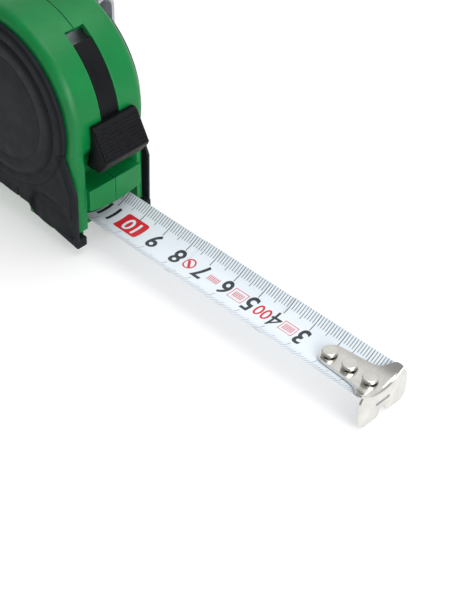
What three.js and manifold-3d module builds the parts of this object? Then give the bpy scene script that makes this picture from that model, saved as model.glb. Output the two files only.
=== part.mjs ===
// A pocket steel tape measure, in millimetres, +Z up, standing on its base.
// While it is drawn, X = 0 is the front face of the lip with the blade running out along +X,
// Y = 0 is the joint between the two case halves, and Z = 0 is the base.
import * as THREE from 'three';
import { mergeVertices } from 'three/addons/utils/BufferGeometryUtils.js';
import Module from 'manifold-3d';

const wasm = await Module();
wasm.setup();

// ---- driving dimensions --------------------------------------------------------------------

// Clearances
const gap = 0.3;                // between pieces that touch or slide
const wall = 2;                 // case wall

// Blade
const bladeWidth = 19;          // measured along its curve
const bladeCurve = 14.3;        // radius of the hollow side
const bladeThickness = 0.3;
const bladeRoom = 0.86;         // between the blade's lowest section and the channel's floor
const bladeOut = 106.5;         // zero of the scale ahead of the lip
const bladeRoot = 6.5;          // how far the blade still reaches behind the lip
const bladeLap = 3;             // overlap of neighbouring blade sections
const bladeSections = 3;
const leadThickness = 0.3;      // the stretch from the coil down to the channel
const leadSetback = 2.7;        // its lower end behind the brake

// Hook and rivets
const hookPlay = 0.8;           // the hook slides by its own thickness
const hookThickness = 0.8;
const hookLength = 21.9;
const hookTongueRear = 4.0;     // half widths of the tongue
const hookTongueFront = 5.0;
const hookDrop = 11;            // flange below the blade's edges
const hookFlare = 5;            // from the flange back to where the tongue widens
const hookLobe = 3;             // lower corners of the flange
const hookNotch = 1.9;          // half width of the notch between them
const hookEarInset = 1.4;       // the ears are this much narrower than the flange
const nailSlotHalf = 3;
const nailSlotDrop = 6;         // below the blade's edges
const nailSlotHeight = 1;
const rivetHeadRadius = 2.3;
const rivetShankRadius = 1.1;
const rivetHeadHeight = 1.0;
const rivetRound = 0.5;
const rivetPitch = 7.45;
const rivetFirst = 4.2;         // behind the scale's zero

// Case
const caseRadius = 31;          // round body, about the drum's axis
const lipReach = 1;             // lip ahead of the round body
const bodyLift = 10.7;          // round body above the base
const pillarSetback = 1.7;      // pillars behind the lip
const edgeRound = 3;            // round between the case's rim and its sides
const sideRoom = 1.3;           // between the spool and the case's sides
const cornerRadius = 14;        // lower rear corner
const lipRoom = 3;              // lip above the blade's edges, at its middle
const lipArch = 1.5;            // the lip's lower edge rises by this much at its sides
const lipDepth = 2.2;
const ledgeZ = 22.8;            // top of the lip, floor of the lock's recess
const mouthDepth = 4;           // from the lip back to the feet under the pillars
const mouthFloorDepth = 11.5;   // and to the floor between them
const mouthRoom = 1.4;          // beside the blade
const pillarFootZ = 8.2;        // the pillars' fronts end here
const pillarFootDrop = 2.3;     // and slope back down to the foot
const channelFloorZ = 5.8;
const archZ = 4.2;              // underside between the two feet
const archFront = 24.5;         // behind the lip
const archRear = 45;
const footSlope = 1.5;
const footSideInset = 3.4;      // bevels of the base's long edges
const footSideZ = 4.2;
const archSideInset = 3;        // the same above the arch
const archSideRise = 3.7;
const seamGap = 0.3;
const bumperFootZ = 1;
const bumperHalf = 2.2;

// Side armour
const armourThickness = 1.4;
const armourInset = 3.6;        // green rim left showing around the armour
const armourHeel = 12;          // radius of its lower rear corner
const armourArchRise = 4.6;     // its lower edge above the arch
const ringOuter = 26.6;         // low raised ring around the label disc
const ringInner = 21.5;
const ringHeight = 0.35;
const ringSlope = 0.5;
const labelHeight = 0.9;        // the disc's face above the armour
const labelSink = 0.7;          // pocket for the disc
const labelSlope = 1.3;
const hollowDepth = 0.8;        // the foot's sunk panel
const toeRoom = 1.1;            // from the mouth's side to the toe
const toeTopZ = 6.2;
const toeLength = 11;
const toeStep = 0.5;            // the toe's side below the armour's face

// Lock
const lockHalfWidth = 8.4;
const lockTopAngle = 6.1;       // degrees about the drum's axis, from the front
const lockBottomAngle = -21.8;
const lockTopOut = 1.9;         // wedge above the round body
const lockApexOut = 7.9;
const lockBottomOut = 5.6;
const lockBottomSlope = 3.6;    // degrees
const lockApexAngle = -10.2;
const lockRibs = 7;
const lockRibDepth = 0.35;
const lockStroke = 6.5;         // degrees of travel
const stripHalfWidth = 3.25;
const stripSink = 0.1;          // below the case's rim
const stripTopAngle = 50;
const stripBottomAngle = -13.5;
const stripPlay = 1.5;          // degrees of slot beyond the strip's travel
const armEndAngle = -58;
const wingHalfWidth = 5;
const wingThickness = 1.5;
const brakeHalfWidth = 8.6;
const brakeSpan = 5.7;          // half width of the arch that the hook passes under
const brakeLength = 4.8;
const brakeSetback = 0.6;       // its middle behind the arm's end

// Spool
const coilRoom = 5.5;           // between the coil and the case wall
const hubRadius = 14.5;
const hubWall = 1.3;
const flangeThickness = 0.8;
const flangeLip = 0.8;          // flange beyond the coil
const postRadius = 3.2;
const springTurns = 5;
const springThickness = 0.5;
const springHalfWidth = 8.8;
const postCollar = 2;           // collar that keeps the spool off the case's side
const postSlotHalf = 0.4;       // slot that holds the spring's inner end

// Belt clip
const clipThickness = 1;
const clipHalfWidth = 6;
const clipTopAbove = 19;        // bend above the drum's axis
const clipPlateBelow = 8;
const clipArmBelow = 19;
const clipOpening = 6;          // room for a belt
const clipFlare = 1.6;
const clipFlareLength = 6;
const clipHoleRadius = 3.4;     // in the arm, to reach the screw

// Screws
const screwHeadRadius = 2.1;
const screwHeadHeight = 1.3;
const screwRound = 0.45;
const screwShankRadius = 1.1;
const bossRadius = 2.8;
const screwRootDepth = 4;       // screws end this far from the left side's inner face
const screwInset = 3.3;         // from the round body's rim
const screwAngles = [80, 150];  // degrees about the drum's axis
const screwSink = 0.1;          // seats of the heads outside the case's inner face
const footScrewSetback = 14.6;    // behind the lip
const footScrewZ = 3.2;
const footScrewSeat = 8;
const crossHalf = 1.25;         // cross recess in the heads
const crossHalfWidth = 0.3;
const crossDepth = 0.7;
const clipScrewRadius = 1.5;
const clipScrewHeadRadius = 2.8;
const clipScrewHeadHeight = 0.9;
const clipScrewEnd = 9;         // its tip and its hole in the post, from the seam

// ---- worked out from them ------------------------------------------------------------------

const drumX = -(caseRadius + lipReach);
const drumZ = caseRadius + bodyLift;
const bladeHalfAngle = bladeWidth / 2 / bladeCurve;
const bladeHalfChord = bladeCurve * Math.sin(bladeHalfAngle);
const sectionStep = bladeThickness + gap;
const bladeDepth = (bladeSections - 1) * sectionStep + bladeThickness;
const curveZ = channelFloorZ + bladeRoom + bladeDepth + bladeCurve;
const bladeEdgeZ = curveZ - bladeCurve * Math.cos(bladeHalfAngle);
const lipBottomZ = bladeEdgeZ + lipRoom;
const mouthHalf = bladeHalfChord + mouthRoom;
const toeInner = mouthHalf + toeRoom;
const pillarX = -pillarSetback;
const coilHalf = bladeWidth / 2;
const spoolHalf = coilHalf + gap + flangeThickness;
const innerHalf = spoolHalf + sideRoom;
const caseHalf = innerHalf + wall;
const coilRadius = caseRadius - wall - coilRoom;
const armourInnerY = caseHalf + gap;
const armourOuterY = armourInnerY + armourThickness;
const labelY = armourOuterY + labelHeight;
const bladeEnd = bladeOut - hookPlay - gap;
const sectionLength = (bladeEnd + bladeRoot + (bladeSections - 1) * bladeLap) / bladeSections;
const hookHalf = mouthHalf - gap;
const hookBottomZ = bladeEdgeZ - hookDrop;
const wingOuter = caseRadius - wall - gap;
const wingInner = wingOuter - wingThickness;
const bumperFront = -hookThickness - hookPlay;
const bodyFrontAngle = -(Math.acos((caseRadius + lipReach - pillarSetback) / caseRadius) * 180) / Math.PI;
const pillarTopZ = drumZ - Math.sqrt(caseRadius ** 2 - (pillarX - drumX) ** 2);

const round = 60;               // facets of a large full circle
const inside = 40;              // facets of a large one inside the case
const fine = 16;                // facets of a small one
const sliver = 0.004;           // cuts leave nothing thinner than this
const weld = 1e-4;              // vertices closer than this are one
const far = 200;                // beyond the object, for cutting bodies
const rad = THREE.MathUtils.degToRad;

// ---- geometry helpers ----------------------------------------------------------------------

/** A closed three.js geometry as a solid. */
function solid(geometry) {
  const bare = geometry.index ? geometry.toNonIndexed() : geometry;
  bare.deleteAttribute('normal');
  bare.deleteAttribute('uv');
  const merged = mergeVertices(bare, weld);
  return new wasm.Manifold(new wasm.Mesh({
    numProp: 3,
    vertProperties: new Float32Array(merged.attributes.position.array),
    triVerts: new Uint32Array(merged.index.array),
  }));
}

/** Points of an arc about [x, z], angles in degrees. */
function arc(x, z, radius, from, to, steps) {
  const points = [];
  for (let i = 0; i <= steps; i += 1) {
    const a = rad(from + ((to - from) * i) / steps);
    points.push([x + radius * Math.cos(a), z + radius * Math.sin(a)]);
  }
  return points;
}

/** A point at a radius and an angle about the drum's axis. */
function aboutDrum(radius, degrees) {
  return [drumX + radius * Math.cos(rad(degrees)), drumZ + radius * Math.sin(rad(degrees))];
}

const armEnd = aboutDrum(wingOuter, armEndAngle);
const brakeRear = armEnd[0] - brakeSetback - brakeLength / 2;

function extrusion(points, depth) {
  const shape = new THREE.Shape(points.map(([u, v]) => new THREE.Vector2(u, v)));
  return new THREE.ExtrudeGeometry(shape, { depth, bevelEnabled: false, steps: 1 });
}

/** An outline in (x, z), from y0 to y1. */
function prismY(points, y0, y1) {
  return solid(extrusion(points, y1 - y0).rotateX(Math.PI / 2).translate(0, y1, 0));
}

/** An outline in (y, z), from x0 to x1. */
function prismX(points, x0, x1) {
  const turn = new THREE.Matrix4().makeBasis(
    new THREE.Vector3(0, 1, 0), new THREE.Vector3(0, 0, 1), new THREE.Vector3(1, 0, 0));
  return solid(extrusion(points, x1 - x0).applyMatrix4(turn).translate(x0, 0, 0));
}

/** An outline in (x, y), from z0 to z1. */
function prismZ(points, z0, z1) {
  return solid(extrusion(points, z1 - z0).translate(0, 0, z0));
}

function block(x0, x1, y0, y1, z0, z1) {
  const box = new THREE.BoxGeometry(x1 - x0, y1 - y0, z1 - z0);
  return solid(box.translate((x0 + x1) / 2, (y0 + y1) / 2, (z0 + z1) / 2));
}

/** A round bar along Y. */
function barY(x, z, radius, y0, y1, facets = fine) {
  const bar = new THREE.CylinderGeometry(radius, radius, y1 - y0, facets);
  return solid(bar.translate(x, (y0 + y1) / 2, z));
}

/** A round bar along Z. */
function barZ(x, y, radius, z0, z1, facets = fine) {
  const bar = new THREE.CylinderGeometry(radius, radius, z1 - z0, facets);
  return solid(bar.rotateX(Math.PI / 2).translate(x, y, (z0 + z1) / 2));
}

/** A closed (radius, y) profile turned about an axis along Y. */
function turned(x, z, profile, facets = round) {
  const loop = [...profile, profile[0]].map(([r, y]) => new THREE.Vector2(r, y));
  return solid(new THREE.LatheGeometry(loop, facets).translate(x, 0, z));
}

/** Part of a ring about the drum's axis. */
function sector(inner, outer, from, to, halfWidth, steps = 24) {
  const points = [
    ...arc(drumX, drumZ, outer, from, to, steps),
    ...arc(drumX, drumZ, inner, to, from, steps),
  ];
  return prismY(points, -halfWidth, halfWidth);
}

/** A plate bent across like the blade, between two radii of the blade's own curve. */
function bentPlate(inner, outer, halfWidth, x0, x1, steps = 14) {
  const a = (Math.asin(halfWidth / inner) * 180) / Math.PI;
  const b = (Math.asin(halfWidth / outer) * 180) / Math.PI;
  const points = [
    ...arc(0, curveZ, outer, -90 - b, -90 + b, steps),
    ...arc(0, curveZ, inner, -90 + a, -90 - a, steps),
  ];
  return prismX(points, x0, x1);
}

function mirrored(body) {
  return body.mirror([0, 1, 0]);
}

const tape = new THREE.Group();

/** Adds a solid to the tape measure as a named mesh. */
function add(name, body, material) {
  const mesh = body.simplify(sliver).getMesh();
  const geometry = new THREE.BufferGeometry();
  geometry.setAttribute('position', new THREE.BufferAttribute(mesh.vertProperties, 3));
  geometry.setIndex(new THREE.BufferAttribute(mesh.triVerts, 1));
  geometry.computeVertexNormals();
  const part = new THREE.Mesh(geometry, material);
  part.name = name;
  tape.add(part);
}

function finish(color, roughness, metalness = 0) {
  return new THREE.MeshStandardMaterial({ color, roughness, metalness });
}

const green = finish('#17803e', 0.42);
const rubber = finish('#24272b', 0.75);
const black = finish('#1a1b1f', 0.5);
const white = finish('#e6ecf1', 0.35);
const nickel = finish('#d6d6d3', 0.22, 1);
const steel = finish('#9a9ea3', 0.35, 1);
const darkSteel = finish('#4a4d52', 0.4, 1);
const nylon = finish('#d9d5c8', 0.55);

// ---- case ----------------------------------------------------------------------------------

const footFront = -mouthDepth;
const floorFront = -mouthFloorDepth;
const screwSeat = innerHalf + screwSink;

/** Screw axes as [x, z, y of the seat under the head]. */
const screwSpots = [
  ...screwAngles.map((angle) => [...aboutDrum(caseRadius - screwInset, angle), screwSeat]),
  [drumX - caseRadius + cornerRadius - bossRadius, cornerRadius - screwRootDepth / 2, screwSeat],
  [-footScrewSetback, footScrewZ, footScrewSeat],
];
const bossedSpots = screwSpots.slice(0, -1);

function caseOutline() {
  return [
    [footFront, 0],
    [footFront, pillarFootZ - pillarFootDrop],
    [pillarX, pillarFootZ],
    ...arc(drumX, drumZ, caseRadius, bodyFrontAngle, 180, 40),
    ...arc(drumX - caseRadius + cornerRadius, cornerRadius, cornerRadius, 180, 270, 12),
    [-archRear - footSlope, 0],
    [-archRear, archZ],
    [-archFront, archZ],
    [-archFront + footSlope, 0],
  ];
}

/** What a round of edgeRound takes off a square edge whose corner is at (u, v). */
function roundOff(u, v) {
  return [
    ...arc(u - edgeRound, v - edgeRound, edgeRound, 90, 0, 3),
    [u + 1, v - edgeRound],
    [u + 1, v + 1],
    [u - edgeRound, v + 1],
  ];
}

/** A bevel along the +Y side's lower edge at z, this wide and this high, from x0 to x1. */
function sideBevel(width, z, height, x0, x1) {
  const slope = height / width;
  return prismX([[caseHalf - width, z - weld], [caseHalf + 1, z - weld],
    [caseHalf + 1, z + height + slope], [caseHalf, z + height]], x0, x1);
}

/** Rounds and chamfers of the +Y side. */
function sideRounds() {
  const ring = turned(drumX, drumZ, roundOff(caseRadius, caseHalf));
  const frontTop = block(drumX, far, 0, far, pillarTopZ, far);
  const upper = frontTop.add(block(-far, drumX, 0, far, drumZ, far));
  const front = prismZ(roundOff(pillarX, caseHalf), -1, pillarTopZ);
  const rearProfile = roundOff(0, caseHalf).map(([u, v]) => [drumX - caseRadius - u, v]);
  const rear = prismZ(rearProfile.reverse(), -1, drumZ);
  const low = sideBevel(footSideInset, 0, footSideZ, -far, far);
  const archCut = sideBevel(archSideInset, archZ, archSideRise, -archRear, -archFront);
  return ring.intersect(upper).add(front).add(rear).add(low).add(archCut);
}

/** The outer shape with the lip between the pillars. */
function caseBlank() {
  const lipHalf = mouthHalf - sliver;
  let body = prismY(caseOutline(), -caseHalf, caseHalf);
  const cut = sideRounds();
  body = body.subtract(cut).subtract(mirrored(cut));
  return body.add(block(footFront, 0, -lipHalf, lipHalf, channelFloorZ, ledgeZ));
}

function caseCavity() {
  const inner = caseRadius - wall;
  const rearX = drumX - inner;
  const cornerX = drumX - caseRadius + cornerRadius;
  const innerCorner = cornerRadius - wall;
  const low = (Math.asin((cornerRadius - channelFloorZ) / innerCorner) * 180) / Math.PI;
  const chamber = prismY([
    [-lipDepth, channelFloorZ],
    [-lipDepth, ledgeZ - wall],
    [drumX + Math.sqrt(inner ** 2 - (drumZ - ledgeZ + wall) ** 2) - 2 * gap, ledgeZ - wall],
    [drumX, drumZ],
    [rearX, drumZ],
    ...arc(cornerX, cornerRadius, innerCorner, 180, 180 + low, 8),
  ], -mouthHalf, mouthHalf);
  const drumRoom = barY(drumX, drumZ, inner, -innerHalf, innerHalf, inside);
  return drumRoom.add(chamber);
}

/** The open mouth under the lip. */
function mouthCut() {
  const middle = lipBottomZ;
  const side = lipBottomZ + lipArch;
  const edge = [];
  const steps = 10;
  for (let i = 0; i <= steps; i += 1) {
    const y = mouthHalf * (1 - (2 * i) / steps);
    edge.push([y, middle + (side - middle) * (y / mouthHalf) ** 2]);
  }
  return prismX([[-mouthHalf, -1], [mouthHalf, -1], ...edge], floorFront, far);
}

function lockRecess() {
  const reach = Math.sqrt(caseRadius ** 2 - (drumZ - ledgeZ) ** 2);
  const start = (-Math.acos(reach / caseRadius) * 180) / Math.PI;
  return prismY([[far, ledgeZ], [far, drumZ], ...arc(drumX, drumZ, caseRadius, 0, start, 12)],
    -mouthHalf, mouthHalf);
}

function toeNotch() {
  return block(-toeLength - 1 - 2 * gap, far, toeInner - gap, far, -1, toeTopZ + gap);
}

function caseBody() {
  const slot = sector(caseRadius - wall - gap, caseRadius + gap, stripBottomAngle - stripPlay,
    stripTopAngle + lockStroke + stripPlay, stripHalfWidth + gap);
  let body = caseBlank().subtract(caseCavity()).subtract(mouthCut()).subtract(lockRecess());
  body = body.subtract(slot).subtract(toeNotch()).subtract(mirrored(toeNotch()));
  for (const [x, z] of bossedSpots) {
    body = body.add(barY(x, z, bossRadius, -innerHalf - gap, innerHalf + gap));
  }
  for (const [x, z, seat] of screwSpots) {
    const shank = barY(x, z, screwShankRadius + gap, -innerHalf + screwRootDepth - gap, seat + 1);
    const head = barY(x, z, screwHeadRadius + gap, seat, caseHalf + 1);
    body = body.subtract(shank).subtract(head);
  }
  return body.subtract(barY(drumX, drumZ, clipScrewRadius + gap, 0, caseHalf + 1));
}

const bothHalves = caseBody();
add('case_left', bothHalves.intersect(block(-far, far, -far, -seamGap / 2, -far, far)), green);
add('case_right', bothHalves.intersect(block(-far, far, seamGap / 2, far, -far, far)), green);

// ---- side armour ---------------------------------------------------------------------------

/** The guard's outline in (x, z): round above, flared forward at the lip, stepped along the foot. */
function armourOutline() {
  const r = caseRadius - armourInset;
  const heelX = drumX - r + armourHeel;
  const archTopZ = archZ + armourArchRise;
  return [
    [-1.2, 2.9],
    [-0.8, ledgeZ + 0.2],
    ...arc(drumX, drumZ, r, -16, 180, 40),
    ...arc(heelX, 22, armourHeel, 180, 250, 7),
    [-archRear, archTopZ + 1.3],
    [drumX, archTopZ],
    [-archFront + 1.3, archTopZ - gap],
    [-archFront + 3.2, 4.9],
    [-13.8, 4.2],
    [-12.3, 4.6],
  ];
}

/** The sunk panel in the guard's foot, open at its lower edge. */
function footHollow() {
  return prismY([[-20.8, 0], [-3.2, 0], [-3.4, 9.5], [-4.8, 13], [-7.5, 14.9], [-14, 15.4],
    [-19.2, 15.2], [-20.8, 13.6]], armourOuterY - hollowDepth, labelY);
}

/** The guard of the +Y side. */
function armour() {
  const plate = prismY(armourOutline(), armourInnerY, armourOuterY);
  const faceY = armourOuterY + ringHeight;
  const rootY = armourOuterY - gap;
  const ring = turned(drumX, drumZ, [[ringInner, rootY], [ringOuter, rootY],
    [ringOuter, armourOuterY], [ringOuter - ringSlope, faceY], [ringInner, faceY]]);
  const pocket = barY(drumX, drumZ, ringInner, armourOuterY - labelSink, far, round);
  const toe = prismY([[-toeLength - 1, toeTopZ - 1.6], [-1.2, 2.7], [-0.9, 3.4], [-0.9, toeTopZ],
    [-toeLength - 1, toeTopZ]], toeInner, armourOuterY - toeStep);
  return plate.subtract(pocket).subtract(footHollow()).add(ring).add(toe);
}

function labelDisc() {
  const bottom = armourOuterY - labelSink + gap;
  const edge = ringInner - gap;
  return turned(drumX, drumZ, [[0, bottom], [edge, bottom], [edge, armourOuterY + ringHeight - gap / 2],
    [edge - labelSlope, labelY], [0, labelY]]);
}

let rightArmour = armour();
for (const [x, z] of bossedSpots) {
  rightArmour = rightArmour.subtract(barY(x, z, screwHeadRadius + gap, caseHalf, far));
}
const clipHole = barY(drumX, drumZ, clipScrewRadius + gap, 0, far);
add('armour_left', mirrored(armour()), rubber);
add('armour_right', rightArmour.subtract(clipHole), rubber);
add('label_disc_left', mirrored(labelDisc()), rubber);
add('label_disc_right', labelDisc().subtract(clipHole), rubber);

// ---- blade, hook and rivets ----------------------------------------------------------------

const rivetSpots = [0, 1, 2].map((i) => bladeOut - rivetFirst - (2 - i) * rivetPitch);

function bladeSection(index) {
  const inner = bladeCurve + index * sectionStep;
  const front = bladeEnd - index * (sectionLength - bladeLap);
  let strip = bentPlate(inner, inner + bladeThickness, bladeHalfChord, front - sectionLength, front);
  if (index === 0) {
    for (const x of rivetSpots) {
      strip = strip.subtract(barZ(x, 0, rivetShankRadius + gap, 0, far));
    }
  }
  return strip;
}

const hookTopRadius = bladeCurve - gap - hookThickness;

/** Half widths of the hook's plate, from its front back to the tongue's end. */
function hookPlan() {
  const back = bladeOut - hookLength;
  const neck = bladeOut - hookFlare;
  const ear = hookHalf - hookEarInset;
  return [
    [bladeOut + weld, ear],
    [bladeOut - 1.4, ear],
    [bladeOut - 2.6, ear - 0.4],
    [neck + 1.4, ear - 1.2],
    [neck + 0.2, hookTongueFront + 0.9],
    [neck - 1.2, hookTongueFront + 0.2],
    [neck - 4, hookTongueFront - 0.4],
    [back + 4, hookTongueRear + 0.2],
    [back + 1.4, hookTongueRear - 0.5],
    [back, hookTongueRear - 2],
  ];
}

/** The flange's face in (y, z): it follows the plate above and has two lobes below. */
function hookFace() {
  const ear = hookHalf - hookEarInset;
  const rise = (Math.asin(ear / hookTopRadius) * 180) / Math.PI;
  const earZ = curveZ - Math.sqrt(hookTopRadius ** 2 - ear ** 2);
  const lobeZ = hookBottomZ + hookLobe;
  return [
    ...arc(-hookHalf + hookLobe, lobeZ, hookLobe, 180, 270, 5),
    [-hookNotch - 1.2, hookBottomZ],
    [-hookNotch, hookBottomZ + 0.6],
    ...arc(0, hookBottomZ + 1.2, hookNotch - 0.5, 180, 0, 8),
    [hookNotch, hookBottomZ + 0.6],
    [hookNotch + 1.2, hookBottomZ],
    ...arc(hookHalf - hookLobe, lobeZ, hookLobe, 270, 360, 5),
    [hookHalf - 0.3, earZ - 1.9],
    ...arc(0, curveZ, hookTopRadius, -90 + rise, -90 - rise, 18),
    [0.3 - hookHalf, earZ - 1.9],
  ];
}

function hook() {
  const half = hookPlan();
  const plan = [...half.map(([x, y]) => [x, -y]), ...half.reverse()];
  const back = bladeOut - hookLength;
  let plate = bentPlate(hookTopRadius, bladeCurve - gap, hookHalf, back - 1, bladeOut + weld, 18);
  plate = plate.intersect(prismZ(plan.reverse(), 0, far));
  const slotRadius = rivetShankRadius + gap;
  for (const x of rivetSpots) {
    const ends = barZ(x, 0, slotRadius, 0, far).add(barZ(x + hookPlay, 0, slotRadius, 0, far));
    plate = plate.subtract(ends.add(block(x, x + hookPlay, -slotRadius, slotRadius, 0, far)));
  }
  const slotZ = bladeEdgeZ - nailSlotDrop;
  const nailSlot = block(bladeOut - 1, far, -nailSlotHalf, nailSlotHalf,
    slotZ - nailSlotHeight / 2, slotZ + nailSlotHeight / 2);
  return plate.add(prismX(hookFace(), bladeOut, bladeOut + hookThickness)).subtract(nailSlot);
}

function rivet(x) {
  const seat = curveZ - Math.sqrt(hookTopRadius ** 2 - rivetHeadRadius ** 2) + gap;
  const foot = curveZ - bladeCurve - bladeThickness;
  const top = seat + rivetHeadHeight;
  const profile = [[0, foot], [rivetShankRadius, foot], [rivetShankRadius, seat],
    [rivetHeadRadius, seat], [rivetHeadRadius, top - rivetRound],
    [rivetHeadRadius - 0.3 * rivetRound, top - 0.3 * rivetRound],
    [rivetHeadRadius - rivetRound, top], [0, top]];
  const points = profile.map(([r, y]) => new THREE.Vector2(r, y));
  return solid(new THREE.LatheGeometry(points, fine).rotateX(Math.PI / 2).translate(x, 0, 0));
}

['blade_tip', 'blade_mid', 'blade_rear'].forEach((name, i) => add(name, bladeSection(i), white));
add('hook', hook(), nickel);
rivetSpots.forEach((x, i) => add(`rivet_${i + 1}`, rivet(x), nickel));

/** The stretch of blade between the coil and the channel, which stays where it is. */
function bladeLead() {
  const front = brakeRear - leadSetback;
  const top = drumZ - coilRadius - gap;
  const t = leadThickness;
  return prismY([[drumX - 4, top], [drumX - 4, top - t], [drumX + 1 - t, top - t - 0.2],
    [front - t, bladeEdgeZ + 1 - t], [front, bladeEdgeZ + 1], [drumX + 1, top - 0.2]],
  -bladeHalfChord, bladeHalfChord);
}

add('blade_lead', bladeLead(), white);
add('mouth_bumper', block(floorFront + gap, bumperFront, -bumperHalf, bumperHalf, bumperFootZ,
  channelFloorZ - gap), rubber);

// ---- thumb lock ----------------------------------------------------------------------------

function lockWedge() {
  const back = caseRadius + gap;
  const top = aboutDrum(caseRadius + lockTopOut, lockTopAngle);
  const apex = aboutDrum(caseRadius + lockApexOut, lockApexAngle);
  const bottom = aboutDrum(caseRadius + lockBottomOut, lockBottomAngle + lockBottomSlope);
  const face = [];
  const normal = new THREE.Vector2(top[1] - apex[1], apex[0] - top[0]).normalize();
  for (let i = 0; i < lockRibs; i += 1) {
    for (const [share, height] of [[0.12, 0], [0.3, lockRibDepth], [0.7, lockRibDepth], [0.88, 0]]) {
      const t = (i + share) / lockRibs;
      face.push([
        apex[0] + (top[0] - apex[0]) * t + normal.x * height,
        apex[1] + (top[1] - apex[1]) * t + normal.y * height,
      ]);
    }
  }
  return prismY([bottom, apex, ...face, top,
    ...arc(drumX, drumZ, back, lockTopAngle, lockBottomAngle, 12)], -lockHalfWidth, lockHalfWidth);
}

function lockStrip() {
  const face = sector(wingOuter - gap, caseRadius - stripSink, stripBottomAngle, stripTopAngle,
    stripHalfWidth);
  const wings = sector(wingInner, wingOuter, armEndAngle, stripTopAngle, wingHalfWidth, 32);
  return wings.add(face);
}

/** A bridge whose two feet press on the blade, high enough for the rivets to pass under it. */
function lockBrake() {
  const front = brakeRear + brakeLength;
  const bridge = block(brakeRear, front, -brakeHalfWidth, brakeHalfWidth, channelFloorZ, armEnd[1] - gap);
  const press = solid(new THREE.CylinderGeometry(bladeCurve - gap, bladeCurve - gap, far, round)
    .rotateZ(Math.PI / 2).translate(0, 0, curveZ));
  const archway = block(-far, far, -brakeSpan, brakeSpan, 0, lipBottomZ);
  return bridge.intersect(press).subtract(archway);
}

add('thumb_lock', lockWedge(), black);
add('lock_strip', lockStrip(), black);
add('lock_brake', lockBrake(), rubber);

// ---- spool and spring ----------------------------------------------------------------------

const bore = postRadius + gap;
const flangeRadius = coilRadius + flangeLip;
add('wound_blade', turned(drumX, drumZ, [[hubRadius + gap, -coilHalf], [coilRadius, -coilHalf],
  [coilRadius, coilHalf], [hubRadius + gap, coilHalf]], inside), white);
add('drum', turned(drumX, drumZ, [[bore, spoolHalf - flangeThickness], [hubRadius - hubWall,
  spoolHalf - flangeThickness], [hubRadius - hubWall, -coilHalf], [hubRadius, -coilHalf],
  [hubRadius, spoolHalf - flangeThickness], [flangeRadius, spoolHalf - flangeThickness],
  [flangeRadius, spoolHalf], [bore, spoolHalf]], inside), nylon);
add('drum_cover', turned(drumX, drumZ, [[bore, -spoolHalf], [flangeRadius, -spoolHalf],
  [flangeRadius, -spoolHalf + flangeThickness], [bore, -spoolHalf + flangeThickness]], inside), nylon);

function mainspring() {
  const inner = bore + gap;
  const outer = hubRadius - hubWall - gap - springThickness;
  const steps = springTurns * fine;
  const near = [];
  const far = [];
  for (let i = 0; i <= steps; i += 1) {
    const a = (2 * Math.PI * springTurns * i) / steps;
    const r = inner + ((outer - inner) * i) / steps;
    near.push([drumX + r * Math.cos(a), drumZ + r * Math.sin(a)]);
    far.push([drumX + (r + springThickness) * Math.cos(a), drumZ + (r + springThickness) * Math.sin(a)]);
  }
  return prismY([...far, ...near.reverse()], -springHalfWidth, springHalfWidth);
}

add('mainspring', mainspring(), darkSteel);

const postEnd = innerHalf - gap;
const collarRadius = postRadius + postCollar;
const post = turned(drumX, drumZ, [[0, -postEnd], [collarRadius, -postEnd],
  [collarRadius, -spoolHalf - gap], [postRadius, -spoolHalf - gap], [postRadius, postEnd],
  [0, postEnd]], fine);
const postSlot = block(drumX - postSlotHalf, drumX + postSlotHalf, -springHalfWidth, springHalfWidth,
  drumZ, far);
add('centre_post', post.subtract(postSlot)
  .subtract(barY(drumX, drumZ, clipScrewRadius + gap, clipScrewEnd, far)), nylon);

// ---- belt clip -----------------------------------------------------------------------------

const clipInnerY = labelY + gap;
const clipTopZ = drumZ + clipTopAbove;
const clipMidY = clipInnerY + clipThickness / 2;
const bendRadius = (clipOpening + clipThickness) / 2;

function clipPlate() {
  const plate = block(drumX - clipHalfWidth, drumX + clipHalfWidth, clipInnerY,
    clipInnerY + clipThickness, drumZ - clipPlateBelow, clipTopZ - gap / 2);
  return plate.subtract(clipHole);
}

function clipArm() {
  const t = clipThickness / 2;
  const bendY = clipMidY + bendRadius;
  const armY = bendY + bendRadius;
  const foot = drumZ - clipArmBelow;
  const base = clipTopZ + gap / 2;
  const outline = [
    [clipMidY - t, base],
    ...arc(bendY, base, bendRadius + t, 180, 0, 10),
    [armY + t, foot + clipFlareLength],
    [armY + t + clipFlare, foot],
    [armY - t + clipFlare, foot],
    [armY - t, foot + clipFlareLength],
    ...arc(bendY, base, bendRadius - t, 0, 180, 10),
  ].reverse();
  const arm = prismX(outline, drumX - clipHalfWidth, drumX + clipHalfWidth);
  return arm.subtract(barY(drumX, drumZ, clipHoleRadius, bendY, far));
}

/** A cross recess in the end of a screw whose head faces +Y. */
function crossRecess(x, z, top) {
  const y0 = top - crossDepth;
  return block(x - crossHalf, x + crossHalf, y0, far, z - crossHalfWidth, z + crossHalfWidth)
    .add(block(x - crossHalfWidth, x + crossHalfWidth, y0, far, z - crossHalf, z + crossHalf));
}

function screw(x, z, seat, end, headRadius, headHeight, shankRadius) {
  const top = seat + headHeight;
  const body = turned(x, z, [[0, end], [shankRadius, end], [shankRadius, seat],
    [headRadius, seat], [headRadius, top - screwRound], [headRadius - screwRound, top],
    [0, top]], fine);
  return body.subtract(crossRecess(x, z, top));
}

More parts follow.
